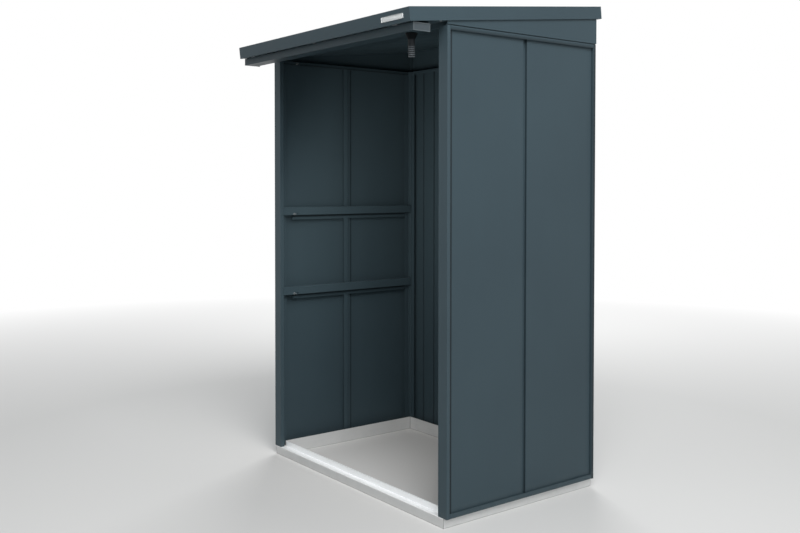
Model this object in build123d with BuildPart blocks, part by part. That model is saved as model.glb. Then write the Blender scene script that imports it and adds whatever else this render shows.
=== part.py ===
from build123d import *
import os
from math import cos, radians, sin, tan

# A free-standing log store of folded steel sheet on a ring of aluminium profile.
# Millimetres. +Z is up, the open front faces -Y, and X = 0 is the middle of the front.
# The origin is on the ground, under the middle of the roof.

os.makedirs("parts", exist_ok=True)

# Base ring: one aluminium profile all round, mitred at the corners
base_width = 1210.0
base_depth = 824.0
rail_height = 37.0
rail_ledge = 31.0
rail_wall = 2.5
rail_edge = 3.0
upstand_height = 25.0

# Folded steel sheet
sheet = 1.5
fold_radius = 2.0

# Walls, from the ledge of the base ring up
wall_height = 1830.0
wall_side_overhang = 16.0
wall_front_set_back = 2.0
wall_rear_overhang = 2.0
panel_depth = 22.0
panel_recess = 9.0
panel_lip = 25.0
rear_panel_lip = 40.0
panel_end_gap = 0.5
panel_joint = 20.0
joint_step = 11.5
front_panel_width = 382.0
edge_line = 2.0
channel_leg = 19.0
top_channel_leg = 16.0

# Corner posts
post_face = 51.0
front_post_side = 15.0
front_post_return = 21.0
front_post_lip = 35.0
rear_post_side = 15.0
rear_post_return = 35.0
post_hook = 15.0
notch_clearance = 1.0

# Back wall: narrow beads pressed outwards, panels joined half way between two beads
bead_pitch = 82.0
bead_width = 8.0
bead_depth = 5.0
bead_angle = 60.0
beads_in_middle_panel = 5

# Rails inside the side walls: a back leg on the wall, a top and a shorter face in front
shelf_leg = 60.0
shelf_depth = 22.0
shelf_face = 38.5
shelf_front_cut = 57.0
shelf_rear_cut = 25.0
shelf_lap = 6.0
spare_hole = 7.0
spare_hole_height = 28.5
spare_hole_from_front = 74.0
lower_shelf_height = 735.0
upper_shelf_height = 1114.0

# Roof: three hollow panels inside a fascia, falling to the front
roof_pitch = 6.43
roof_front_overhang = 183.0
roof_rear_overhang = 27.0
roof_side_overhang = 4.0
gable_front_height = 16.5
gable_set_back = 2.0
gable_rear_overhang = 5.0
gable_flange = 20.0
groove_height = 4.0
groove_depth = 6.0
fascia_height = 51.0
fascia_top_flange = 25.0
fascia_lip = 18.0
side_fascia_lip = 14.0
roof_panel_count = 3
roof_panel_gap = 1.0
drain_slot = 18.0

# Gutter under the front overhang, with its end caps and spout
gutter_width = 78.0
gutter_height = 30.0
gutter_flat = 62.0
gutter_slant = 5.0
gutter_set_back = 26.0
gutter_hem = 9.0
gutter_flange = 20.0
gutter_side_gap = 2.0
gutter_drop = 29.2
cap_plate = 2.5
cap_rim = 3.0
cap_recess = 1.0
cap_wall = 2.0
cap_cover = 12.0
cap_clearance = 0.3
cap_from_side = 7.0
outlet_from_side = 66.0
outlet_bore = 14.0
outlet_flange_size = 46.0
outlet_flange = 3.0
outlet_cone = 20.0
outlet_stub = 12.0
spout_size = 26.0
spout_bore = 18.0
spout_socket = 20.0
spout_clearance = 0.3
spout_length = 64.0
spout_ribs = 5
rib_pitch = 7.4
rib_groove = 2.2

# Planes and edges that the pieces share
pitch = radians(roof_pitch)
fall = tan(pitch)
sloped_sheet = sheet / cos(pitch)
base_side = base_width / 2
roof_depth = roof_front_overhang + base_depth + roof_rear_overhang
roof_length = roof_depth / cos(pitch)
roof_lean = fascia_height * sin(pitch)
roof_front = -(roof_depth + roof_lean) / 2
base_front = roof_front + roof_front_overhang
base_rear = base_front + base_depth
wall_side = base_side + wall_side_overhang
wall_front = base_front + wall_front_set_back
wall_rear = base_rear + wall_rear_overhang
wall_bottom = rail_height
wall_top = wall_bottom + wall_height
post_inside = wall_side - post_face
channel_width = panel_recess + panel_depth + sheet
panel_side = wall_side - panel_recess
panel_inside = panel_side - panel_depth
rails_front = wall_front + front_post_side
panels_front = wall_front + front_post_return
panels_rear = wall_rear - rear_post_side
rear_post_front = wall_rear - rear_post_return
gable_rear = wall_rear + gable_rear_overhang
roof_side = wall_side + roof_side_overhang


def ceiling(y):
    """Height of the flat underside of the roof panels."""
    return wall_top + gable_front_height + (y - wall_front) * fall


def roof_top(y):
    """Height of the flat top of the roof."""
    return ceiling(y) + (fascia_height - sheet) / cos(pitch)


def along_roof(y, depth):
    """Distance up the slope to y, measured at a depth below the top of the roof."""
    return (y - roof_front - depth * sin(pitch)) / cos(pitch)


def across(x, y, z, inward):
    """Section plane: its x runs into the store, its y runs up."""
    inward = Vector(*inward)
    return Plane(origin=(x, y, z), x_dir=inward, z_dir=inward.cross(Vector(0, 0, 1)))


def folded_strip(points, plane, length, side=Side.LEFT):
    """Sheet folded along points on its outer surface and run out along the plane's normal."""
    folds = [Vector(*point) for point in points[1:-1]]
    with BuildPart() as strip:
        with BuildSketch(plane) as section:
            with BuildLine():
                Polyline(*points)
                offset(amount=sheet, side=side, kind=Kind.INTERSECTION)
            make_face()
            corners = section.vertices()
            fillet([corners.sort_by_distance(fold)[0] for fold in folds], radius=fold_radius)
        extrude(amount=length)
    return strip.part


def finish_piece(piece, name):
    """Names the solid and writes its file."""
    piece.part.label = name
    export_step(piece.part, f"parts/{name}.step")


def finish_pair(right_piece, name):
    """Writes a right-hand piece and its mirror image on the left."""
    finish_piece(right_piece, f"right_{name}")
    with BuildPart() as left_piece:
        mirror(right_piece.part, about=Plane.YZ)
    finish_piece(left_piece, f"left_{name}")


def base_rail(middle, inward, length):
    """One side of the base ring: a hollow profile with an upstand, mitred at both ends."""
    section = across(*middle, inward)
    with BuildPart() as rail:
        with BuildSketch(section):
            profile = Rectangle(rail_ledge + rail_wall, rail_height, align=(Align.MIN, Align.MIN))
            fillet(profile.vertices().group_by(Axis.X)[0].sort_by(Axis.Y)[-1], radius=rail_edge)
            with Locations((rail_ledge, rail_height)):
                Rectangle(rail_wall, upstand_height, align=(Align.MIN, Align.MIN))
            with Locations((rail_wall, rail_wall)):
                chamber = (rail_ledge - rail_wall, rail_height - 2 * rail_wall)
                Rectangle(*chamber, align=(Align.MIN, Align.MIN), mode=Mode.SUBTRACT)
        extrude(amount=length / 2, both=True)
        for end in (-1, 1):
            corner = section.origin + section.z_dir * (end * length / 2)
            mitre = Plane(origin=corner, z_dir=section.z_dir * end + section.x_dir)
            split(bisect_by=mitre, keep=Keep.BOTTOM)
    return rail.part


with BuildPart() as front_base_rail:
    add(base_rail((0, base_front, 0), (0, 1, 0), base_width))
finish_piece(front_base_rail, "front_base_rail")

with BuildPart() as rear_base_rail:
    add(base_rail((0, base_rear, 0), (0, -1, 0), base_width))
finish_piece(rear_base_rail, "rear_base_rail")

with BuildPart() as side_base_rail:
    add(base_rail((base_side, (base_front + base_rear) / 2, 0), (-1, 0, 0), base_depth))
finish_pair(side_base_rail, "base_rail")

# Front corner posts: face, side with its hook, and a return with a lip notched over the rails
with BuildPart() as front_post:
    front_post_path = [
        (wall_side - post_hook, wall_front + front_post_side),
        (wall_side, wall_front + front_post_side),
        (wall_side, wall_front),
        (post_inside, wall_front),
        (post_inside, panels_front),
        (post_inside + front_post_lip, panels_front),
    ]
    add(folded_strip(front_post_path, Plane.XY.offset(wall_bottom), wall_height, Side.RIGHT))
    notch_height = channel_leg + notch_clearance
    with BuildSketch(Plane.XY.offset(wall_bottom), Plane.XY.offset(wall_top - notch_height)):
        with Locations((wall_side - channel_width - notch_clearance, panels_front)):
            Rectangle(channel_width, 2 * sheet, align=(Align.MIN, Align.CENTER))
    extrude(amount=notch_height, mode=Mode.SUBTRACT)
finish_pair(front_post, "front_post")

# Rear corner posts: the same idea, deeper, and notched over the upstand of the base ring
with BuildPart() as rear_post:
    rear_post_path = [
        (wall_side - post_hook, panels_rear),
        (wall_side, panels_rear),
        (wall_side, wall_rear),
        (post_inside, wall_rear),
        (post_inside, rear_post_front),
        (wall_side - channel_width, rear_post_front),
    ]
    add(folded_strip(rear_post_path, Plane.XY.offset(wall_bottom), wall_height))
    notch_side = base_side - rail_ledge + notch_clearance
    notch_rear = base_rear - rail_ledge + notch_clearance
    with BuildSketch(Plane.XY.offset(wall_bottom)):
        with Locations((notch_side, notch_rear)):
            notch_size = (notch_side - post_inside, notch_rear - rear_post_front)
            Rectangle(*notch_size, align=(Align.MAX, Align.MAX))
    extrude(amount=upstand_height + notch_clearance, mode=Mode.SUBTRACT)
finish_pair(rear_post, "rear_post")


def wall_panel(plane, start, end, tongue=False, lips=(0, 0), beads=()):
    """Folded wall panel. A tongue steps back behind the joint to the panel before it."""
    height = wall_height - 2 * (sheet + panel_end_gap)
    start_lip, end_lip = lips
    points = [(start, panel_depth)]
    if start_lip:
        points.insert(0, (start + start_lip, panel_depth))
    if tongue:
        points += [(start, joint_step), (start + panel_joint, joint_step)]
        start += panel_joint
    points += [(start, 0), (end, 0), (end, panel_depth)]
    if end_lip:
        points.append((end - end_lip, panel_depth))
    with BuildPart() as panel:
        add(folded_strip(points, plane, height))
        if beads:
            slant = radians(bead_angle)
            outside_width = bead_width + 2 * sheet * (1 / sin(slant) - 1 / tan(slant))
            bead_mouth = (Align.CENTER, Align.MIN)
            for width, level, mode in (
                (outside_width, 0, Mode.ADD),
                (bead_width, sheet, Mode.SUBTRACT),
            ):
                with BuildSketch(plane):
                    with Locations(*[(bead, level) for bead in beads]):
                        Trapezoid(width, bead_depth, bead_angle, rotation=180, align=bead_mouth)
                extrude(amount=height, mode=mode)
    return panel.part


# Side walls: two panels each, with a dark stepped joint between them
panel_bottom = wall_bottom + sheet + panel_end_gap
side_plane = Plane(origin=(panel_side, 0, panel_bottom), x_dir=(0, 1, 0), z_dir=(0, 0, 1))
side_joint = panels_front + front_panel_width

with BuildPart() as front_wall_panel:
    add(wall_panel(side_plane, panels_front, side_joint, lips=(panel_lip, panel_lip)))
finish_pair(front_wall_panel, "wall_front_panel")

with BuildPart() as rear_wall_panel:
    side_end = panels_rear - edge_line
    add(wall_panel(side_plane, side_joint, side_end, tongue=True, lips=(0, rear_panel_lip)))
finish_pair(rear_wall_panel, "wall_rear_panel")

# Back wall: three beaded panels between the rear posts, laid from right to left
back_plane = Plane(
    origin=(0, wall_rear - panel_recess, panel_bottom), x_dir=(-1, 0, 0), z_dir=(0, 0, 1)
)
back_joint = bead_pitch * beads_in_middle_panel / 2
bead_limit = int(post_inside // bead_pitch)
bead_row = [bead_pitch * index for index in range(-bead_limit, bead_limit + 1)]
bead_margin = panel_joint + bead_width
for name, start, end, lips in (
    ("right", -post_inside, -back_joint, (panel_lip, 0)),
    ("middle", -back_joint, back_joint, (0, 0)),
    ("left", back_joint, post_inside, (0, panel_lip)),
):
    beads = [bead for bead in bead_row if start + bead_margin < bead < end - bead_margin]
    with BuildPart() as back_wall_panel:
        add(wall_panel(back_plane, start, end, name != "right", lips, beads))
    finish_piece(back_wall_panel, f"back_wall_{name}_panel")


def channel(plane, length, leg):
    """Folded channel that the panels stand in. A negative leg opens downwards."""
    points = [(0, leg), (0, 0), (channel_width, 0), (channel_width, leg)]
    return folded_strip(points, plane, length, Side.LEFT if leg > 0 else Side.RIGHT)


side_length = panels_rear - rails_front

with BuildPart() as side_bottom_rail:
    side_bottom = across(wall_side, rails_front, wall_bottom, (-1, 0, 0))
    add(channel(side_bottom, side_length, channel_leg))
finish_pair(side_bottom_rail, "wall_bottom_rail")

with BuildPart() as side_top_rail:
    side_top = across(wall_side, rails_front, wall_top, (-1, 0, 0))
    add(channel(side_top, side_length, -top_channel_leg))
finish_pair(side_top_rail, "wall_top_rail")

with BuildPart() as back_bottom_rail:
    back_bottom = across(post_inside, wall_rear, wall_bottom, (0, -1, 0))
    add(channel(back_bottom, 2 * post_inside, channel_leg))
finish_piece(back_bottom_rail, "back_wall_bottom_rail")

with BuildPart() as back_top_rail:
    back_top = across(post_inside, wall_rear, wall_top, (0, -1, 0))
    add(channel(back_top, 2 * post_inside, -top_channel_leg))
finish_piece(back_top_rail, "back_wall_top_rail")


def shelf_rail(height):
    """Rail that hangs open side down: its face laps the front post, its back leg is cut back."""
    rail_start = panels_front - shelf_lap
    length = rear_post_front - rail_start
    shelf_plane = across(panel_inside, rail_start, height, (-1, 0, 0))
    face_foot = shelf_leg - shelf_face
    points = [(0, 0), (0, shelf_leg), (shelf_depth, shelf_leg), (shelf_depth, face_foot)]
    with BuildPart() as rail:
        add(folded_strip(points, shelf_plane, length, Side.RIGHT))
        for start, reach, width, tall in (
            (0, shelf_lap, shelf_depth - sheet, shelf_leg),
            (0, shelf_lap + shelf_front_cut, sheet, face_foot),
            (length, -shelf_rear_cut, sheet, face_foot),
        ):
            with BuildSketch(shelf_plane.offset(start)):
                Rectangle(width, tall, align=(Align.MIN, Align.MIN))
            extrude(amount=reach, mode=Mode.SUBTRACT)
        with BuildSketch(Plane.YZ.offset(panel_inside - shelf_depth)):
            with Locations((panels_front + spare_hole_from_front, height + spare_hole_height)):
                Circle(spare_hole / 2)
        extrude(amount=sheet, mode=Mode.SUBTRACT)
    return rail.part


with BuildPart() as lower_shelf_rail:
    add(shelf_rail(lower_shelf_height))
finish_pair(lower_shelf_rail, "lower_shelf_rail")

with BuildPart() as upper_shelf_rail:
    add(shelf_rail(upper_shelf_height))
finish_pair(upper_shelf_rail, "upper_shelf_rail")


def under_roof(front, rear):
    """Side view of a piece that stands on the walls and reaches the ceiling."""
    Polyline(
        (front, wall_top), (rear, wall_top), (rear, ceiling(rear)), (front, ceiling(front)), close=True
    )


# Gable wedges over the side walls: trays of sheet, open to the inside and to the front, with a
# shadow groove along the rail under them
gable_side = wall_side - gable_set_back
with BuildPart() as gable:
    with BuildSketch(Plane.YZ.offset(gable_side)):
        with BuildLine():
            under_roof(wall_front, gable_rear)
        make_face()
    extrude(amount=-gable_flange)
    with BuildSketch(Plane.YZ.offset(gable_side)):
        with Locations((wall_front, wall_top)):
            Rectangle(gable_rear - wall_front, groove_height, align=(Align.MIN, Align.MIN))
    extrude(amount=-groove_depth, mode=Mode.SUBTRACT)
    open_sides = [gable.faces().sort_by(Axis.X)[0], gable.faces().sort_by(Axis.Y)[0]]
    offset(amount=-sheet, openings=open_sides)
finish_pair(gable, "gable")

# Headers over the front opening and over the back wall, between the gables
header_side = gable_side - gable_flange
with BuildPart() as front_header:
    with BuildSketch(Plane.YZ):
        with BuildLine():
            under_roof(panels_front, panels_front + gable_flange)
        make_face()
    extrude(amount=header_side, both=True)
    offset(amount=-sheet, openings=front_header.faces().sort_by(Axis.Y)[-1])
finish_piece(front_header, "front_header")

with BuildPart() as rear_header:
    with BuildSketch(Plane.YZ):
        with BuildLine():
            under_roof(gable_rear - gable_flange, gable_rear)
        make_face()
    extrude(amount=header_side, both=True)
    offset(amount=-sheet, openings=rear_header.faces().sort_by(Axis.Y)[0])
finish_piece(rear_header, "rear_header")


def roof_section(x):
    """Section plane of the roof: its origin on the top front edge, its x up the slope."""
    origin = (x, roof_front, roof_top(roof_front))
    return Plane(origin=origin, x_dir=(0, cos(pitch), sin(pitch)), z_dir=(1, 0, 0))


def roof_slice(front, rear, upper, lower):
    """Part of a roof section, between two places up the slope and two depths below the top."""
    with Locations((front, -lower)):
        Rectangle(rear - front, lower - upper, align=(Align.MIN, Align.MIN))


# Roof panels: flat hollow sheet panels that stop short of the front, over the gutter
panels_width = 2 * (roof_side - sheet)
panel_width = (panels_width - (roof_panel_count - 1) * roof_panel_gap) / roof_panel_count
roof_panels_front = fascia_top_flange + drain_slot
roof_panels_rear = roof_length - sheet
roof_panel_bottom = fascia_height - sheet
for index, name in enumerate(("left", "middle", "right")):
    left_edge = -panels_width / 2 + index * (panel_width + roof_panel_gap)
    with BuildPart() as roof_panel:
        with BuildSketch(roof_section(left_edge)):
            roof_slice(roof_panels_front, roof_panels_rear, sheet, roof_panel_bottom)
        extrude(amount=panel_width)
        with BuildSketch(roof_section(left_edge + sheet)):
            roof_slice(0, roof_length, 2 * sheet, roof_panel_bottom - sheet)
        extrude(amount=panel_width - 2 * sheet, mode=Mode.SUBTRACT)
    finish_piece(roof_panel, f"roof_{name}_panel")

# Side fascias: an outer plate, a flange over the panels and a lip under each overhang
front_lip_end = along_roof(wall_front, fascia_height)
rear_lip_start = along_roof(gable_rear, roof_panel_bottom)
with BuildPart() as side_fascia:
    for front, rear, upper, lower, width in (
        (0, roof_length, 0, fascia_height, sheet),
        (sheet, roof_length - sheet, 0, sheet, fascia_top_flange),
        (sheet, front_lip_end, roof_panel_bottom, fascia_height, side_fascia_lip),
        (rear_lip_start, roof_length - sheet, roof_panel_bottom, fascia_height, side_fascia_lip),
    ):
        with BuildSketch(roof_section(roof_side)):
            roof_slice(front, rear, upper, lower)
        extrude(amount=-width)
finish_pair(side_fascia, "fascia")


def end_fascia(edge, inward):
    """Fascia across the front or rear edge, fitted between the side fascias."""
    with BuildPart() as fascia:
        for reach, upper, lower, side_gap in (
            (sheet, 0, fascia_height, sheet),
            (fascia_top_flange, 0, sheet, fascia_top_flange),
            (fascia_lip, roof_panel_bottom, fascia_height, side_fascia_lip),
        ):
            front, rear = sorted((edge, edge + inward * reach))
            with BuildSketch(roof_section(0)):
                roof_slice(front, rear, upper, lower)
            extrude(amount=roof_side - side_gap, both=True)
    return fascia.part


with BuildPart() as front_fascia:
    add(end_fascia(0, 1))
finish_piece(front_fascia, "front_fascia")

with BuildPart() as rear_fascia:
    add(end_fascia(roof_length, -1))
finish_piece(rear_fascia, "rear_fascia")

# Gutter: one folded channel hung from the ceiling by its rear flange, cut short at the sides
gutter_front = roof_front + gutter_set_back
gutter_rear = gutter_front + gutter_width
gutter_bottom = roof_top(roof_front) - fascia_height * cos(pitch) - gutter_drop
gutter_top = gutter_bottom + gutter_height
gutter_side = roof_side - cap_from_side - cap_plate
hanger_side = roof_side - side_fascia_lip - gutter_side_gap
outlet_x = roof_side - outlet_from_side
outlet_y = (gutter_front + gutter_rear) / 2
with BuildPart() as gutter:
    gutter_path = [
        (gutter_front + gutter_hem, gutter_top),
        (gutter_front, gutter_top),
        (gutter_front, gutter_bottom),
        (gutter_front + gutter_flat, gutter_bottom),
        (gutter_rear, gutter_bottom + gutter_slant),
        (gutter_rear, ceiling(gutter_rear) - sloped_sheet),
        (gutter_rear + gutter_flange, ceiling(gutter_rear + gutter_flange) - sloped_sheet),
    ]
    add(folded_strip(gutter_path, Plane.YZ.offset(-gutter_side), 2 * gutter_side))
    for end in (-1, 1):
        with BuildSketch(Plane.YZ.offset(end * hanger_side)):
            with Locations((gutter_rear, gutter_top)):
                Rectangle(gutter_width, gutter_width, align=(Align.CENTER, Align.MIN))
        extrude(amount=end * roof_side, mode=Mode.SUBTRACT)
    with BuildSketch(Plane.XY.offset(gutter_bottom)):
        with Locations((outlet_x, outlet_y)):
            Circle(outlet_bore / 2)
    extrude(amount=sheet, mode=Mode.SUBTRACT)
finish_piece(gutter, "gutter")


def trough_section(inset):
    """Section of the gutter trough, drawn in all round."""
    Polygon(
        (gutter_front, gutter_top),
        (gutter_front, gutter_bottom),
        (gutter_front + gutter_flat, gutter_bottom),
        (gutter_rear, gutter_bottom + gutter_slant),
        (gutter_rear, gutter_top),
        align=None,
    )
    offset(amount=-inset, kind=Kind.INTERSECTION, mode=Mode.REPLACE)


# End caps: a plate with a raised rim outside and a collar that fits inside the gutter
with BuildPart() as gutter_cap:
    for plane, inset, depth, mode in (
        (gutter_side, 0, cap_plate, Mode.ADD),
        (gutter_side + cap_plate, cap_rim, -cap_recess, Mode.SUBTRACT),
    ):
        with BuildSketch(Plane.YZ.offset(plane)):
            with Locations((gutter_front + inset, gutter_bottom + inset)):
                plate_size = (gutter_width - 2 * inset, gutter_height - 2 * inset)
                Rectangle(*plate_size, align=(Align.MIN, Align.MIN))
        extrude(amount=depth, mode=mode)
    collar_inset = sheet + cap_clearance
    for inset, mode in ((collar_inset, Mode.ADD), (collar_inset + cap_wall, Mode.SUBTRACT)):
        with BuildSketch(Plane.YZ.offset(gutter_side)):
            trough_section(inset)
        extrude(amount=-cap_cover, mode=mode)
finish_pair(gutter_cap, "gutter_cap")

# Outlet: flange under the gutter, cone and stub
outlet_plane = Plane(origin=(outlet_x, outlet_y, 0), x_dir=(1, 0, 0), z_dir=(0, -1, 0))
shoulder = gutter_bottom - outlet_flange - outlet_cone
stub_radius = spout_socket / 2 - spout_clearance
with BuildPart() as outlet:
    with BuildSketch(outlet_plane):
        with BuildLine():
            Polyline(
                (outlet_bore / 2, gutter_bottom),
                (outlet_flange_size / 2, gutter_bottom),
                (outlet_flange_size / 2, gutter_bottom - outlet_flange),
                (spout_size / 2, shoulder),
                (stub_radius, shoulder),
                (stub_radius, shoulder - outlet_stub),
                (outlet_bore / 2, shoulder - outlet_stub),
                close=True,
            )
        make_face()
    revolve(axis=Axis((outlet_x, outlet_y, 0), (0, 0, 1)))
finish_piece(outlet, "gutter_outlet")

# Spout: a short tube whose socket is pushed over the stub, with sharp ribs round its lower part
spout_bottom = shoulder - spout_length
socket_floor = shoulder - outlet_stub - spout_clearance
with BuildPart() as spout:
    with BuildSketch(outlet_plane):
        with BuildLine():
            spout_path = [
                (spout_bore / 2, socket_floor),
                (spout_socket / 2, socket_floor),
                (spout_socket / 2, shoulder),
                (spout_size / 2, shoulder),
            ]
            for rib in range(spout_ribs, 0, -1):
                rib_bottom = spout_bottom + (rib - 1) * rib_pitch
                spout_path += [
                    (spout_size / 2, rib_bottom + rib_pitch),
                    (spout_size / 2 - rib_groove, rib_bottom + rib_pitch / 2),
                ]
            spout_path += [(spout_size / 2, spout_bottom), (spout_bore / 2, spout_bottom)]
            Polyline(*spout_path, close=True)
        make_face()
    revolve(axis=Axis((outlet_x, outlet_y, 0), (0, 0, 1)))
finish_piece(spout, "drain_spout")
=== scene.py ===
# %% [markdown]
# # A log store of folded steel sheet
# The frame holds every folded sheet, rail and fitting of the store at its real size. This lesson
# gives each of them its finish, adds the small fasteners and the plate, and sets up a plain
# studio, with the camera where the photograph was taken from. The sheets could be modelled here
# once more, but a second set would drift away from the first. So the frame is loaded first, and
# every later step measures itself on it.

# %% Load the frame
from math import atan2, cos, degrees, pi, radians, sin, tan

import bpy
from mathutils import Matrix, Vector


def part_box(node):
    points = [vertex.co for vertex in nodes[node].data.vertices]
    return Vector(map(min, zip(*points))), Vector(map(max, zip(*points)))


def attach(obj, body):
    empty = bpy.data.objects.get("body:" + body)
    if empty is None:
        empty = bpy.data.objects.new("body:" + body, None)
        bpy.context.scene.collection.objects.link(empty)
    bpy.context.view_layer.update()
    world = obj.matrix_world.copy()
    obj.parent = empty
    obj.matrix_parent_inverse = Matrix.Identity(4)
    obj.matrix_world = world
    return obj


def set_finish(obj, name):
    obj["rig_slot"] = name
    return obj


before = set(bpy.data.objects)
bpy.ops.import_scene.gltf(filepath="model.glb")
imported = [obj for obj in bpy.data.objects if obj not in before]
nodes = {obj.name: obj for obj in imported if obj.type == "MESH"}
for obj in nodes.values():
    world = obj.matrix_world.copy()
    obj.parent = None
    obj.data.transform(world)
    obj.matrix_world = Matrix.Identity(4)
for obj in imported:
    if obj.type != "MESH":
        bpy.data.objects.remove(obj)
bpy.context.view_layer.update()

MM = 0.001
scene = bpy.context.scene
bpy.ops.object.select_all(action="DESELECT")

# %% [markdown]
# ## The camera
# The store is seen from beyond its right front corner, from chest height, through a moderate
# lens. The camera could be turned by eye until the picture looks right, but then no edge would
# lie quite where it should. So its place, turn and lens come from a fit of the edges of the
# base, the walls and the roof. The camera dips by little more than a degree, which keeps the
# uprights nearly parallel, and a small shift of the lens frames the store.

# %% Camera
camera_place = (3.1793, -2.5772, 1.2839)
camera_turn = 0.9306
camera_dip = 0.0243
camera_lens = 41.52
camera_shift = (0.0326, -0.0751)
sensor_width = 36.0

bpy.ops.object.camera_add(location=camera_place, rotation=(pi / 2 - camera_dip, 0, camera_turn))
camera = bpy.context.object
camera.name = "camera"
camera.data.sensor_width = sensor_width
camera.data.lens = camera_lens
camera.data.shift_x, camera.data.shift_y = camera_shift
scene.camera = camera
scene.view_settings.view_transform = "Standard"
print("camera", round(camera_place[2], 2), "m above the ground, lens", camera_lens, "mm")

# %% [markdown]
# ## Shader maths
# A finish is a small sum: a base colour, plus a little mottling, plus dust near the ground. Such
# a sum could be laid out by hand as a chain of nodes, but it is easier to read as Python. So a
# Wire wraps one socket and overloads the operators, and each operator adds the Math node that it
# stands for.


# %% Wires
class Wire:
    """The output of a node, used in plain arithmetic."""

    def __init__(self, tree, socket):
        self.tree = tree
        self.socket = socket

    def math(self, operation, first, second):
        return self.tree.node("ShaderNodeMath", {"operation": operation}, {0: first, 1: second})

    def __add__(self, other):
        return self.math("ADD", self, other)

    def __sub__(self, other):
        return self.math("SUBTRACT", self, other)

    def __rsub__(self, other):
        return self.math("SUBTRACT", other, self)

    def __mul__(self, other):
        return self.math("MULTIPLY", self, other)

    def __abs__(self):
        return self.math("ABSOLUTE", self, 0.0)

    __radd__ = __add__
    __rmul__ = __mul__


# %% [markdown]
# Every node comes from one method, which sets the node's own settings before its sockets, since
# some settings change which sockets there are. A tree belongs to a material or to the world, and
# starts with its main shader already wired to its output.


# %% Trees
class Tree:
    """The nodes of a material, or of the world, with one main shader."""

    def __init__(self, name, shader="ShaderNodeBsdfPrincipled", of_world=False):
        library = bpy.data.worlds if of_world else bpy.data.materials
        output = "ShaderNodeOutputWorld" if of_world else "ShaderNodeOutputMaterial"
        self.block = library.new(name)
        self.block.use_nodes = True
        self.nodes = self.block.node_tree.nodes
        self.links = self.block.node_tree.links
        self.nodes.clear()
        surface = self.node(shader, {}, {})
        self.shader = surface.socket.node
        self.node(output, {}, {"Surface": surface})

    def feed(self, socket, value):
        """Sets a socket to a value, or links it to a wire."""
        if isinstance(value, Wire):
            self.links.new(value.socket, socket)
        else:
            socket.default_value = value

    def node(self, kind, settings, inputs, output=0):
        """Adds a node, and returns one of its outputs if it has any."""
        made = self.nodes.new(kind)
        for name, value in settings.items():
            setattr(made, name, value)
        for name, value in inputs.items():
            self.feed(made.inputs[name], value)
        return Wire(self, made.outputs[output]) if made.outputs else None

    def set(self, **values):
        """Sets the main shader's sockets, with _ for a blank in a name."""
        for name, value in values.items():
            self.feed(self.shader.inputs[name.replace("_", " ")], value)

    def mix(self, *values):
        """Feeds a main shader that mixes two others: the share, then the two shaders."""
        for place, value in enumerate(values):
            self.feed(self.shader.inputs[place], value)


# %% [markdown]
# The rest of the shader maths is a handful of patterns and masks. A mask says how much of
# something there is at each point, from 0 to 1. It could come from a painted picture, but one
# worked out from a piece's own coordinates is sharp at any distance and needs no file.


# %% Finishes
class Finish(Tree):
    """A tree with the patterns and masks that the finishes are made from."""

    def here(self):
        """The piece's own coordinates, in metres."""
        return self.node("ShaderNodeTexCoord", {}, {}, "Object")

    def axis(self, letter):
        """The place along X, Y or Z, in metres: along Z it is the height above the ground."""
        return self.node("ShaderNodeSeparateXYZ", {}, {0: self.here()}, letter)

    def noise(self, grain, detail, stretch=(1, 1, 1)):
        """Noise with about grain lumps to a metre. A stretch under 1 draws them out."""
        place = self.node("ShaderNodeMapping", {}, {"Vector": self.here(), "Scale": stretch})
        knobs = {"Vector": place, "Scale": grain, "Detail": detail, "Roughness": 0.55}
        return self.node("ShaderNodeTexNoise", {}, knobs)

    def span(self, wire, low, high, start=0.0, end=1.0):
        """Maps low to start and high to end, and holds both ends."""
        knobs = {"Value": wire, 1: low, 2: high, 3: start, 4: end}
        return self.node("ShaderNodeMapRange", {}, knobs)

    def spread(self, noise, start=0.0, end=1.0):
        """Spreads noise, most of which lies between 0.3 and 0.7, from start to end."""
        return self.span(noise, 0.3, 0.7, start, end)

    def within(self, wire, limit, soft, share=1.0):
        """The share up to the limit and nothing past it, over an edge that is soft wide."""
        return self.span(wire, limit - soft / 2, limit + soft / 2, share, 0.0)

    def beyond(self, wire, limit, soft, share=1.0):
        """The share past the limit and nothing up to it, over an edge that is soft wide."""
        return self.span(wire, limit - soft / 2, limit + soft / 2, 0.0, share)

    def from_nearest(self, wire, pitch):
        """The distance to the nearest multiple of the pitch."""
        return self.node("ShaderNodeMath", {"operation": "PINGPONG"}, {0: wire, 1: pitch / 2})

    def blend(self, share, first, second):
        """Mixes two colours by a share from 0 to 1."""
        return self.node("ShaderNodeMix", {"data_type": "RGBA"}, {0: share, 6: first, 7: second}, 2)

    def relief(self, surface, depth):
        """A bump of that depth in metres."""
        knobs = {"Height": surface, "Distance": depth, "Strength": 1.0}
        return self.node("ShaderNodeBump", {}, knobs)

    def in_view(self):
        """1 for what is seen directly, mirrored or through glass, and 0 for bounced light."""
        kinds = ("Is Camera Ray", "Is Glossy Ray", "Is Transmission Ray")
        rays = [self.node("ShaderNodeLightPath", {}, {}, kind) for kind in kinds]
        return self.span(rays[0] + rays[1] + rays[2], 0.0, 1.0)


# %% [markdown]
# ## Anthracite paint
# The sheets are coil coated: an even satin grey with a blue cast. Close up the skin has a faint
# orange peel, over a whole panel the tone drifts a little, and splashes leave the lowest few
# centimetres a touch paler and duller. One flat colour would do from far off, but from near it
# looks like plastic. So noises of different grain are laid over each other, and the drift is
# kept small, because the coating comes even from the factory.


# %% Tones
def shade(red, green, blue):
    """A colour given from 0 to 255, as light."""
    channels = [channel / 255 for channel in (red, green, blue)]
    light = [c / 12.92 if c <= 0.04045 else ((c + 0.055) / 1.055) ** 2.4 for c in channels]
    return (*light, 1)


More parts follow.
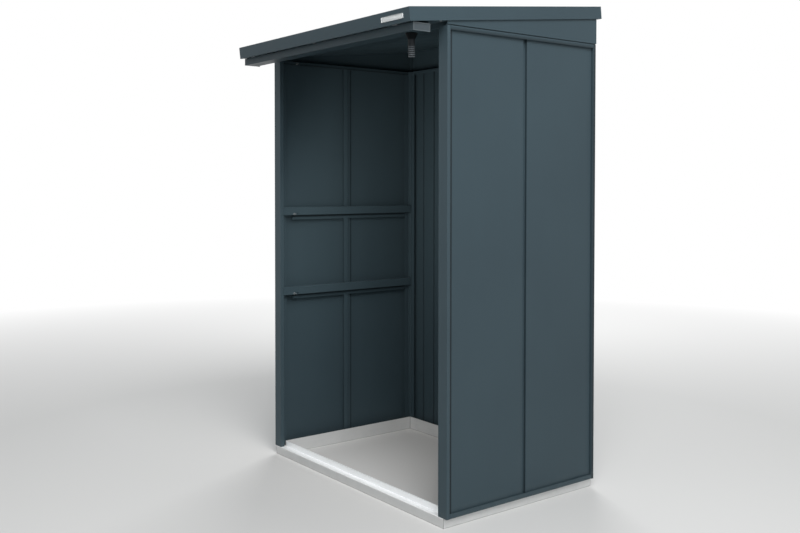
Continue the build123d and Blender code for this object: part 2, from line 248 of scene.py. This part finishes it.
wall_tones = (shade(54, 68, 75), shade(58, 73, 80))
# The front posts take a slightly paler copy of the wall paint, as a painted highlight.
lit_post_tones = (shade(57, 71, 78), shade(61, 76, 83))
# The gutter takes a slightly darker copy of the wall paint, as painted shade under the roof edge.
shaded_gutter_tones = (shade(48, 61, 68), shade(52, 66, 72))
wall_dust, roof_dust = shade(104, 108, 106), shade(96, 100, 99)
# The dark tone of the painted shade in recesses, corners and beads.
painted_shade_tone = shade(24, 31, 35)
print("the darker wall tone as light", [round(level, 3) for level in wall_tones[0][:3]])

# %% Paint for walls and roof
dust_height = 60 * MM
dust_share = 0.2
peel_depth = 0.04 * MM


def painted_steel(name, tones, dusty_tone, painted_shade=None):
    """Paint with dust at the foot, and painted shade where the painted_shade mask asks."""
    paint = Finish(name)
    drift = paint.noise(grain=1.7, detail=3.0)
    rain = paint.noise(grain=9.0, detail=3.0, stretch=(1, 1, 0.08))
    peel = paint.noise(grain=420.0, detail=1.0)
    low = paint.within(paint.axis("Z"), dust_height, dust_height)
    dust = paint.span(paint.noise(grain=26.0, detail=4.0), 0.35, 0.75) * low * dust_share
    base = paint.blend(paint.spread(drift * 0.7 + rain * 0.3), *tones)
    if painted_shade:
        base = paint.blend(painted_shade(paint), base, painted_shade_tone)
    paint.set(
        Base_Color=paint.blend(dust, base, dusty_tone),
        Roughness=paint.spread(rain, 0.40, 0.47) + dust * 0.4,
        Normal=paint.relief(peel, peel_depth),
        Specular_IOR_Level=0.15,
    )
    return paint.block


wall_paint = painted_steel("wall_paint", wall_tones, wall_dust)
post_paint = painted_steel("post_paint", lit_post_tones, wall_dust)
roof_paint = painted_steel("roof_paint", wall_tones, roof_dust)
gutter_paint = painted_steel("gutter_paint", shaded_gutter_tones, roof_dust)
print("paint mixed for walls, front posts, roof and gutter")

# %% [markdown]
# ## Painted shade on the side walls
# Shade is painted where the sheet steps back: in the corner beside the front post, behind the
# joint between the two panels on the inside, on the top rail, where it gets darker towards the
# foot, and on the back leg of a shelf rail, under its front face. Thin dark strips could be laid
# on the sheet, but they would stand out from it. So each is the same paint with a darker share,
# worked out from the edges of the frame's pieces. The inside of a panel is told from its outside
# by the distance from the middle of the store.

# %% Paint with painted shade on the side walls
panel_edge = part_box("right_wall_front_panel")[0].y
joint_width = 20 * MM
joint_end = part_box("right_wall_rear_panel")[0].y + joint_width
wall_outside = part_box("right_wall_rear_panel")[1].x
rail_foot, rail_top = (corner.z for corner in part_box("right_wall_top_rail"))
shelf_face_foot = 21.5 * MM
painted_shade_edge = 2 * MM


# Painted shade in the corner beside the front post.
def beside_post(paint):
    return paint.within(paint.axis("Y"), panel_edge + 8.5 * MM, painted_shade_edge, share=0.85)


# Painted shade on the inside of the panel, behind the joint between the two panels.
def behind_joint(paint):
    half_strip = 7 * MM
    from_strip_middle = abs(paint.axis("Y") - joint_end - half_strip)
    inside = paint.within(abs(paint.axis("X")), wall_outside - 0.75 * MM, 0.5 * MM)
    return paint.within(from_strip_middle, half_strip, painted_shade_edge, share=0.7) * inside


# Painted shade on the top rail, darker towards its foot.
def towards_foot(paint):
    return paint.span(paint.axis("Z"), rail_foot, rail_top - MM, 0.75, 0.0)


def under_face_of(rail):
    """The painted shade on the back leg, under the front face of that shelf rail."""
    half_strip = 5 * MM
    strip_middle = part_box(rail)[0].z + shelf_face_foot - 4 * MM

    def on_back_leg(paint):
        from_middle = abs(paint.axis("Z") - strip_middle)
        return paint.within(from_middle, half_strip, painted_shade_edge, share=0.75)

    return on_back_leg


under_upper_face = under_face_of("right_upper_shelf_rail")
under_lower_face = under_face_of("right_lower_shelf_rail")
front_panel_paint = painted_steel("front_panel_paint", wall_tones, wall_dust, beside_post)
rear_panel_paint = painted_steel("rear_panel_paint", wall_tones, wall_dust, behind_joint)
top_rail_paint = painted_steel("top_rail_paint", wall_tones, wall_dust, towards_foot)
upper_shelf_paint = painted_steel("upper_shelf_paint", wall_tones, wall_dust, under_upper_face)
lower_shelf_paint = painted_steel("lower_shelf_paint", wall_tones, wall_dust, under_lower_face)
print("grime behind the joint from y", round(joint_end, 3), "m back")

# %% [markdown]
# ## Painted shade on the back wall and the rear posts
# Seen from inside, the beads of the back wall are narrow grooves, and painted shade fills them.
# The sheet has the same thickness everywhere, so a bead is narrower inside than outside, and a
# limit between the two widths keeps the painted shade off the outside. The narrow outer sides of
# the rear posts are darkened with painted shade too.

# %% Paint for the back wall and the rear posts
bead_pitch, half_mouth, bead_lean = 82 * MM, 4 * MM, 1 / tan(radians(60))
bead_reach = 6.5 * MM
mouth_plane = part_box("back_wall_middle_panel")[1].y - bead_reach
rear_post_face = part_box("right_rear_post")[1].x


# Painted shade in the beads of the back wall, on the inside only.
def in_beads(paint):
    """The slanted sides are brought upright, by adding to their distance what they lean."""
    leaned = abs(paint.axis("Y") - mouth_plane) * bead_lean
    from_bead = paint.from_nearest(paint.axis("X"), bead_pitch) + leaned
    return paint.within(from_bead, half_mouth + 0.7 * MM, 1.0 * MM, share=0.55)


# Painted shade on the narrow outer sides of the rear posts.
def on_outer_side(paint):
    from_middle = abs(paint.axis("X"))
    return paint.beyond(from_middle, rear_post_face - 0.65 * MM, 0.7 * MM, share=0.65)


back_wall_paint = painted_steel("back_wall_paint", wall_tones, wall_dust, in_beads)
rear_post_paint = painted_steel("rear_post_paint", wall_tones, wall_dust, on_outer_side)
print("grime in the beads, every", round(bead_pitch / MM), "mm")

# %% [markdown]
# ## Aluminium for the base
# The base profile is plain extruded aluminium. It is bright but not polished: the die leaves
# fine lines along its length, and handling leaves dull patches and a few small scuffs. The lines
# could be cut into the mesh, but they are far finer than a pixel, so a stretched noise feeds a
# bump: along X for the front and rear rails, and along Y for the side rails. The ledge of the
# front rail carries a painted highlight, as it faces the sky, and its face is painted darker as
# shade, as it faces away from the light. Dirt marks the mitred corners, and the foot is darkened,
# partly by soil and partly as painted shade where the base meets the ground.

# %% Extruded aluminium
corner_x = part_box("front_base_rail")[1].x
base_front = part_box("front_base_rail")[0].y
base_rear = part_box("rear_base_rail")[1].y
ledge_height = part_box("right_front_post")[0].z
line_depth = 0.03 * MM
dull_tone, soil_and_shade_tone = shade(120, 122, 122), shade(96, 94, 88)
scuff_tone, mitre_tone = shade(140, 140, 138), shade(70, 72, 72)


def mitre_dirt(metal):
    """A thin dark line where two rails meet at a corner, at 45 degrees."""
    from_side = corner_x - abs(metal.axis("X"))
    from_end = (base_rear - base_front) / 2 - abs(metal.axis("Y") - (base_front + base_rear) / 2)
    return metal.within(abs(from_side - from_end), 1.2 * MM, 0.8 * MM, share=0.75)


def extruded_aluminium(name, along, face_tone, ledge_tone):
    """Metal with die lines drawn out by along, and the ledge in ledge_tone, a painted highlight."""
    metal = Finish(name)
    lines = metal.noise(grain=900.0, detail=2.0, stretch=along)
    patches = metal.noise(grain=14.0, detail=4.0)
    specks = metal.span(metal.noise(grain=260.0, detail=2.0), 0.7, 0.78)
    height = metal.axis("Z")
    patched = metal.blend(metal.span(patches, 0.35, 0.7) * 0.08, face_tone, dull_tone)
    on_ledge = metal.beyond(height, ledge_height - 0.65 * MM, 0.7 * MM)
    lit_ledge = metal.blend(on_ledge, patched, ledge_tone)
    # The foot is darkened, partly by soil and partly as painted shade where the rail meets the
    # ground.
    soiled_and_shaded = metal.blend(metal.within(height, 2.5 * MM, 3.0 * MM, share=0.45), lit_ledge, soil_and_shade_tone)
    scuffed = metal.blend(specks * 0.4, soiled_and_shaded, scuff_tone)
    metal.set(
        Base_Color=metal.blend(mitre_dirt(metal), scuffed, mitre_tone),
        Metallic=0.25,
        Roughness=metal.spread(patches, 0.38, 0.5) + specks * 0.2,
        Normal=metal.relief(lines, line_depth),
    )
    return metal.block


# The front rail's face takes a darker tone as painted shade, and its ledge a paler one as painted
# highlight.
side_tone, shaded_front_tone = shade(213, 214, 214), shade(202, 203, 203)
lit_ledge_tone = shade(244, 246, 247)
along_x, along_y = (0.02, 1, 1), (1, 0.02, 1)
front_rail_metal = extruded_aluminium("front_rail_metal", along_x, shaded_front_tone, lit_ledge_tone)
rear_rail_metal = extruded_aluminium("rear_rail_metal", along_x, side_tone, side_tone)
side_rail_metal = extruded_aluminium("side_rail_metal", along_y, side_tone, side_tone)
print("aluminium mixed for the base, rubbed above", round(ledge_height, 3), "m on the front rail")

# %% [markdown]
# ## Plastic of the gutter fittings
# The end caps, the outlet and the spout are moulded. The caps are a little paler than the paint,
# and their rims carry a painted highlight. The spout is nearly black, with a painted highlight on
# the crests of its ribs and painted shade in its grooves, and the outlet is black. Moulded plastic
# has a soft sheen and the very fine texture of its mould. Modelled grains would be lost at this
# size, so the texture is a shallow bump.

# %% Moulded plastic
texture_depth = 0.03 * MM


def moulded_plastic(name, tone, pale_tone, gloss, pale_share=None):
    """Plastic that goes from tone to pale_tone in soft clouds, or by the share that is given."""
    plastic = Finish(name)
    clouds = plastic.noise(grain=30.0, detail=3.0)
    texture = plastic.noise(grain=1500.0, detail=1.0)
    share = pale_share(plastic) if pale_share else plastic.spread(clouds)
    plastic.set(
        Base_Color=plastic.blend(share, tone, pale_tone),
        Roughness=plastic.spread(clouds, 0.45, 0.55),
        Normal=plastic.relief(texture, texture_depth),
        Specular_IOR_Level=gloss,
    )
    return plastic.block


rim_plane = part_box("right_gutter_cap")[1].x
rib_pitch, rib_count = 7.4 * MM, 5
spout_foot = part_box("drain_spout")[0].z


def rim_highlight(plastic):
    """The raised rim of a cap carries a painted highlight, over a little random mottle."""
    on_rim = plastic.beyond(abs(plastic.axis("X")), rim_plane - 0.5 * MM, 0.6 * MM)
    return on_rim * 0.8 + plastic.noise(grain=60.0, detail=3.0) * 0.2


def highlighted_crests(plastic):
    """Painted highlight on the rib crests, painted shade in the grooves; the sleeve stays dark."""
    above_foot = plastic.axis("Z") - spout_foot
    on_crest = plastic.within(plastic.from_nearest(above_foot, rib_pitch), 1.7 * MM, 1.8 * MM)
    return on_crest * plastic.within(above_foot, rib_count * rib_pitch + 0.5 * MM, 1.0 * MM)


cap_plastic = moulded_plastic("cap_plastic", shade(60, 68, 73), shade(84, 92, 96), 0.25, rim_highlight)
spout_tones = (shade(20, 24, 27), shade(84, 89, 93))
spout_plastic = moulded_plastic("spout_plastic", *spout_tones, 0.12, highlighted_crests)
outlet_plastic = moulded_plastic("outlet_plastic", shade(9, 12, 14), shade(12, 15, 17), 0.04)
print("plastics mixed for the gutter fittings")

# %% [markdown]
# ## Zinc and enamel
# Screws and bolts are zinc plated, and the zinc has gone dull, with a slight bluish mottle. The
# plate on the front fascia is white enamel, left bare. Pieces as small as these could do with
# one flat colour, but a little noise keeps them from looking cut out of card.

# %% Finishes of the fasteners and the plate
zinc = Finish("dull_zinc")
tarnish = zinc.noise(grain=500.0, detail=2.0)
zinc.set(
    Base_Color=zinc.blend(tarnish, shade(98, 105, 109), shade(128, 134, 137)),
    Metallic=0.3,
    Roughness=zinc.spread(tarnish, 0.5, 0.6),
    Specular_IOR_Level=0.2,
)

haze_depth = 0.01 * MM
enamel = Finish("white_enamel")
haze = enamel.noise(grain=120.0, detail=2.0)
clouds = enamel.span(haze, 0.35, 0.65)
enamel.set(
    Base_Color=enamel.blend(clouds, shade(222, 224, 224), shade(214, 217, 218)),
    Roughness=enamel.span(haze, 0.35, 0.65, 0.3, 0.36),
    Normal=enamel.relief(haze, haze_depth),
)
print("zinc and enamel mixed")

# %% [markdown]
# ## The small pieces
# Screws, bolts and the plate are too small to matter in the frame, but a store without them
# looks like a toy. Each is modelled once, where it belongs, and copied with its own mesh. An
# operator acts on all that is selected, so one helper selects a single piece, and another selects
# the faces to work on.


# %% Selecting
def select_only(piece):
    if bpy.context.mode != "OBJECT":
        bpy.ops.object.mode_set(mode="OBJECT")
    bpy.ops.object.select_all(action="DESELECT")
    piece.select_set(True)
    bpy.context.view_layer.objects.active = piece


def select_faces(piece, wanted):
    """Selects, in edit mode, the faces for which wanted(face) is true."""
    bpy.ops.object.mode_set(mode="OBJECT")
    for group in (piece.data.vertices, piece.data.edges, piece.data.polygons):
        group.foreach_set("select", [False] * len(group))
    for face in piece.data.polygons:
        face.select = wanted(face)
    bpy.ops.object.mode_set(mode="EDIT")
    bpy.ops.mesh.select_mode(type="FACE")


# %% [markdown]
# Every finished piece gets the same last steps: its place goes into its mesh, its faces are
# turned outwards, and it is named and fixed to the store. The place could be left on the object,
# but then the noises of its finish would slide, since they are read in the object's coordinates.


# %% Last steps for a piece
def fasten(piece, name, material, slot):
    """Bakes the piece's place into its mesh, and fixes the piece to the store."""
    select_only(piece)
    bpy.ops.object.transform_apply(location=True, rotation=True, scale=True)
    bpy.ops.object.mode_set(mode="EDIT")
    bpy.ops.mesh.select_all(action="SELECT")
    bpy.ops.mesh.normals_make_consistent(inside=False)
    bpy.ops.object.mode_set(mode="OBJECT")
    bpy.ops.object.shade_smooth_by_angle(angle=radians(35))
    piece.name = name
    piece.data.materials.clear()
    piece.data.materials.append(material)
    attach(piece, "root")
    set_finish(piece, slot)
    return piece


# %% [markdown]
# ## The plate on the front fascia
# A thin enamelled plate is glued to the right end of the front fascia, and it is bare. It could
# be a flat card, but then its rim wouldn't catch the light. So it starts as a flat block, its
# four corners are rounded by bevelling the short edges, and the rim of its face is eased by an
# inset that is lifted a little. The fascia leans, because the roof frame is square to its slope,
# so the lean is read from the fascia's foremost edge, which is its top, and its lowest one.

# %% The fascia's lean
fascia_points = [point.co for point in nodes["front_fascia"].data.vertices]
fascia_top = min(fascia_points, key=lambda point: point.y)
fascia_foot = min(fascia_points, key=lambda point: point.z)
lean = atan2(fascia_foot.y - fascia_top.y, fascia_top.z - fascia_foot.z)
down_face = Vector((0, sin(lean), -cos(lean)))
up_roof = Vector((0, cos(lean), sin(lean)))
print("the fascia leans by", round(degrees(lean), 2), "degrees")

# %% The plate
plate_width, plate_height, plate_thickness = 127 * MM, 18.5 * MM, 1.2 * MM
plate_x, plate_below_top = 524 * MM, 27 * MM
corner_radius, rim_width, rim_lift = 3 * MM, 0.5 * MM, 0.3 * MM

plate_middle = Vector((plate_x, fascia_top.y, fascia_top.z)) + down_face * plate_below_top
bpy.ops.object.select_all(action="DESELECT")
bpy.ops.mesh.primitive_cube_add(
    size=1,
    location=plate_middle - up_roof * plate_thickness / 2,
    rotation=(lean, 0, 0),
    scale=(plate_width, plate_thickness, plate_height),
)
plate = bpy.context.object
bpy.ops.object.transform_apply(location=False, rotation=False, scale=True)
for edge in plate.data.edges:
    ends = [plate.data.vertices[index].co for index in edge.vertices]
    edge.select = abs(ends[0].y - ends[1].y) > plate_thickness / 2
for face in plate.data.polygons:
    face.select = False
bpy.ops.object.mode_set(mode="EDIT")
bpy.ops.mesh.select_mode(type="EDGE")
bpy.ops.mesh.bevel(offset=corner_radius, segments=5, affect="EDGES")
select_faces(plate, lambda face: face.normal.y < -0.9)
bpy.ops.mesh.inset(thickness=rim_width)
bpy.ops.transform.translate(value=up_roof * -rim_lift)
fasten(plate, "fascia_plate", enamel.block, "enamel")
print("plate", round(plate_width / MM), "mm wide on the fascia")

# %% [markdown]
# ## Screws under the roof edge
# Pan head screws are driven up through the lips of the fascias, so only their heads hang below.
# A dome squashed flat would give the pan too, but not the recess. So a head starts as a short
# cylinder, its lower face is drawn in and pushed down three times, which gives the round pan,
# and a last inset is pushed back up for the driver's recess.

# %% The first screw
head_radius, rim_height = 4.2 * MM, 1.7 * MM
pan_steps = ((0.6, 0.9), (0.9, 0.6), (0.9, 0.2), (0.25, -1.1))
middle_x, front_up_slope = -18 * MM, 10 * MM


def lip_point(x, up_slope):
    """A point on the underside of the fascias' lips, up_slope metres from the front edge."""
    return Vector((x, fascia_foot.y, fascia_foot.z)) + up_roof * up_slope


first_point = lip_point(middle_x, front_up_slope)
bpy.ops.object.select_all(action="DESELECT")
bpy.ops.mesh.primitive_cylinder_add(
    vertices=24,
    radius=head_radius,
    depth=rim_height,
    location=first_point + down_face * rim_height / 2,
    rotation=(lean, 0, 0),
)
screw = bpy.context.object
select_faces(screw, lambda face: face.normal.z < -0.9)
for drawn_in, pushed_down in pan_steps:
    bpy.ops.mesh.inset(thickness=drawn_in * MM)
    bpy.ops.transform.translate(value=down_face * pushed_down * MM)
fasten(screw, "front_lip_screw_middle", zinc.block, "zinc")
print("a screw head", round(2 * head_radius / MM, 1), "mm across")

# %% [markdown]
# The other six heads could be modelled in the same way, but copies of the first are sure to be
# alike. Each copy has its own mesh. One for the left side is mirrored, which turns its faces
# inside out, and the last steps set that right.

# %% Copies of the screw
inner_x, outer_x, side_x = 516 * MM, 530 * MM, 617.5 * MM
side_up_slope = 150 * MM


def copy_to(piece, name, move=(0, 0, 0), flip=False):
    """A copy with its own mesh, moved, and mirrored to the other side if flip is set."""
    select_only(piece)
    bpy.ops.object.duplicate()
    twin = bpy.context.object
    twin.location = (-move[0] if flip else move[0], move[1], move[2])
    twin.scale.x = -1 if flip else 1
    return fasten(twin, name, piece.data.materials[0], piece["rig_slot"])


for name, x, up_slope in (
    ("front_lip_screw_inner", inner_x, front_up_slope),
    ("front_lip_screw_outer", outer_x, front_up_slope),
    ("side_lip_screw", side_x, side_up_slope),
):
    right_screw = copy_to(screw, "right_" + name, lip_point(x, up_slope) - first_point)
    copy_to(right_screw, "left_" + name, flip=True)
print("seven screws under the roof edge")

# %% [markdown]
# ## Bolts on the rails
# Each shelf rail and each top rail holds a bolt near its front end. Inside the store it shows as
# a washer, a hex nut and the end of the bolt. The three could be turned from one profile, but a
# nut isn't round. So each starts as its own cylinder, the nut's with six sides, its outer face is
# drawn in and lifted for an eased edge, and the three are joined into one piece. Each bolt is
# placed from the foot of its rail, on the face that looks into the store.

# %% The first bolt
washer_radius, washer_height = 5.4 * MM, 1.0 * MM
nut_radius, nut_height = 4.8 * MM, 4.0 * MM
shank_radius, shank_reach = 2.5 * MM, 12.0 * MM
shelf_bolt_y, above_shelf_foot = -259 * MM, 27 * MM
inwards = Vector((-1, 0, 0))


def inner_face(rail, y, above_foot):
    """A point on the face of a right rail that looks into the store."""
    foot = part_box(rail)[0]
    return Vector((foot.x, y, foot.z + above_foot))


def eased_cylinder(sides, radius, height, middle, drawn_in, lift):
    """A cylinder along X with an eased edge on the side that looks inwards."""
    bpy.ops.object.select_all(action="DESELECT")
    bpy.ops.mesh.primitive_cylinder_add(
        vertices=sides, radius=radius, depth=height, location=middle, rotation=(0, -pi / 2, 0)
    )
    cylinder = bpy.context.object
    select_faces(cylinder, lambda face: face.normal.z > 0.9)
    bpy.ops.mesh.inset(thickness=drawn_in)
    bpy.ops.transform.translate(value=inwards * lift)
    bpy.ops.object.mode_set(mode="OBJECT")
    return cylinder


upper_point = inner_face("right_upper_shelf_rail", shelf_bolt_y, above_shelf_foot)
washer_middle = upper_point + inwards * washer_height / 2
nut_middle = upper_point + inwards * (washer_height + nut_height / 2)
shank_middle = nut_middle + inwards * shank_reach / 2
washer = eased_cylinder(24, washer_radius, washer_height, washer_middle, 0.3 * MM, 0.2 * MM)
nut = eased_cylinder(6, nut_radius, nut_height, nut_middle, 0.9 * MM, 0.4 * MM)
upper_bolt = eased_cylinder(20, shank_radius, shank_reach, shank_middle, 0.5 * MM, 0.5 * MM)
for part in (washer, nut):
    part.select_set(True)
bpy.ops.object.join()
fasten(upper_bolt, "right_upper_rail_bolt", zinc.block, "zinc")
print("a bolt with its nut and washer at", round(upper_point.z, 3), "m")

# %% [markdown]
# The bolt is copied to the left side, and then to the lower and the top rail of each side. Every
# bolt could be measured by itself, but on both shelf rails they lie alike, so one height over the
# foot serves both.

# %% Copies of the bolt
top_bolt_y, above_top_foot = -230 * MM, 7 * MM
copy_to(upper_bolt, "left_upper_rail_bolt", flip=True)
for name, rail, y, above_foot in (
    ("lower_rail_bolt", "right_lower_shelf_rail", shelf_bolt_y, above_shelf_foot),
    ("top_rail_bolt", "right_wall_top_rail", top_bolt_y, above_top_foot),
):
    move = inner_face(rail, y, above_foot) - upper_point
    right_bolt = copy_to(upper_bolt, "right_" + name, move)
    copy_to(right_bolt, "left_" + name, flip=True)
print("six bolts on the rails")

# %% [markdown]
# ## Finishes for the pieces of the frame
# Each piece could be given its finish by hand, one after the other. One loop with a list by name
# does the same and is easier to check: a piece takes the finish that stands under its name
# without left and right, and all the others are roof or wall paint.

# %% Give every piece of the frame its finish
finishes = {
    "wall_front_panel": front_panel_paint,
    "wall_rear_panel": rear_panel_paint,
    "wall_top_rail": top_rail_paint,
    "upper_shelf_rail": upper_shelf_paint,
    "lower_shelf_rail": lower_shelf_paint,
    "back_wall_panel": back_wall_paint,
    "back_wall_middle_panel": back_wall_paint,
    "front_post": post_paint,
    "rear_post": rear_post_paint,
    "gutter": gutter_paint,
    "base_rail": side_rail_metal,
    "front_base_rail": front_rail_metal,
    "rear_base_rail": rear_rail_metal,
    "gutter_cap": cap_plastic,
    "gutter_outlet": outlet_plastic,
    "drain_spout": spout_plastic,
}
for name, piece in nodes.items():
    without_side = name.replace("left_", "").replace("right_", "")
    paint = roof_paint if name.startswith("roof_") else wall_paint
    piece.data.materials.clear()
    piece.data.materials.append(finishes.get(without_side, paint))
print("finishes given to", len(nodes), "pieces")

# %% [markdown]
# ## The studio floor
# A plain pale floor shows where the store stands and takes its soft shadow. A curved backdrop
# would hide the horizon from one side only. So the floor is flat, and further out it fades to
# the white of the sky, whichever side the camera is on. It is a shade paler to bounced light
# than where it is seen, directly or in a reflection, which Light Path tells apart.

# %% Floor
floor_radius = 14.0
fade_start, fade_end = 2.2, 6.5
bounce_tone, seen_tone = shade(222, 222, 220), shade(208, 208, 207)
white = (1, 1, 1, 1)
bpy.ops.object.select_all(action="DESELECT")
bpy.ops.mesh.primitive_circle_add(vertices=96, radius=floor_radius, fill_type="NGON")
floor = bpy.context.object
floor.name = "floor"

ground = Finish("pale_floor", "ShaderNodeMixShader")
in_view = ground.in_view()
tone = ground.blend(in_view, bounce_tone, seen_tone)
matt = ground.node("ShaderNodeBsdfDiffuse", {}, {"Color": tone})
glow = ground.node("ShaderNodeEmission", {}, {"Color": white, "Strength": 1.0})
distance = ground.node("ShaderNodeVectorMath", {"operation": "LENGTH"}, {0: ground.here()}, "Value")
ground.mix(ground.span(distance, fade_start, fade_end) * in_view, matt, glow)
floor.data.materials.append(ground.block)
print("floor", 2 * floor_radius, "m across, fading from", fade_start, "to", fade_end, "m")

# %% [markdown]
# ## The sky
# An overcast sky lights the store evenly from all sides and is a little blue. A picture of a sky
# would do the same, but it needs a file, so one plain colour stands in for it. The camera and
# the reflections see plain white in its place.

# %% Sky
sky_strength = 0.26
sky_tone = (0.93, 0.97, 1.0, 1)
sky = Finish("studio", "ShaderNodeMixShader", of_world=True)
light = sky.node("ShaderNodeBackground", {}, {"Color": sky_tone, "Strength": sky_strength})
backdrop = sky.node("ShaderNodeBackground", {}, {"Color": white, "Strength": 1.0})
sky.mix(sky.in_view(), light, backdrop)
scene.world = sky.block
print("even sky of strength", sky_strength)

# %% [markdown]
# ## Soft lamps
# Two large lamps on the right side model the walls and the roof edge, one behind keeps the far
# sides readable, and a weak warm one inside stands in for the daylight that comes in from all
# around. A single sun would be simpler, but it draws hard shadows. The inner lamp is hidden from
# the camera and from reflections, and the strengths were tuned until the walls were about as
# bright as they are in the photograph.


# %% Soft lamps
def soft_lamp(name, place, target, size, power):
    """A square area lamp at place that faces target."""
    turn = (Vector(target) - Vector(place)).to_track_quat("-Z", "Y").to_euler()
    bpy.ops.object.light_add(type="AREA", location=place, rotation=turn)
    lamp = bpy.context.object
    lamp.name = name
    lamp.data.size = size
    lamp.data.energy = power
    return lamp


aim, low_aim = (0, 0, 1.1), (-0.1, 0.45, 1.05)
warm_tone = (1.0, 0.94, 0.88)
soft_lamp("high_key", place=(3.4, -1.7, 5.1), target=aim, size=3.2, power=300)
soft_lamp("low_key", place=(4.9, -2.9, 2.9), target=aim, size=3.0, power=58)
soft_lamp("back_fill", place=(-4.0, 4.0, 3.6), target=aim, size=3.0, power=240)
inner_fill = soft_lamp("inner_fill", place=(0.0, -0.28, 1.3), target=low_aim, size=0.7, power=4.0)
inner_fill.visible_camera = False
inner_fill.visible_glossy = False
inner_fill.data.color = warm_tone
print("four soft lamps")
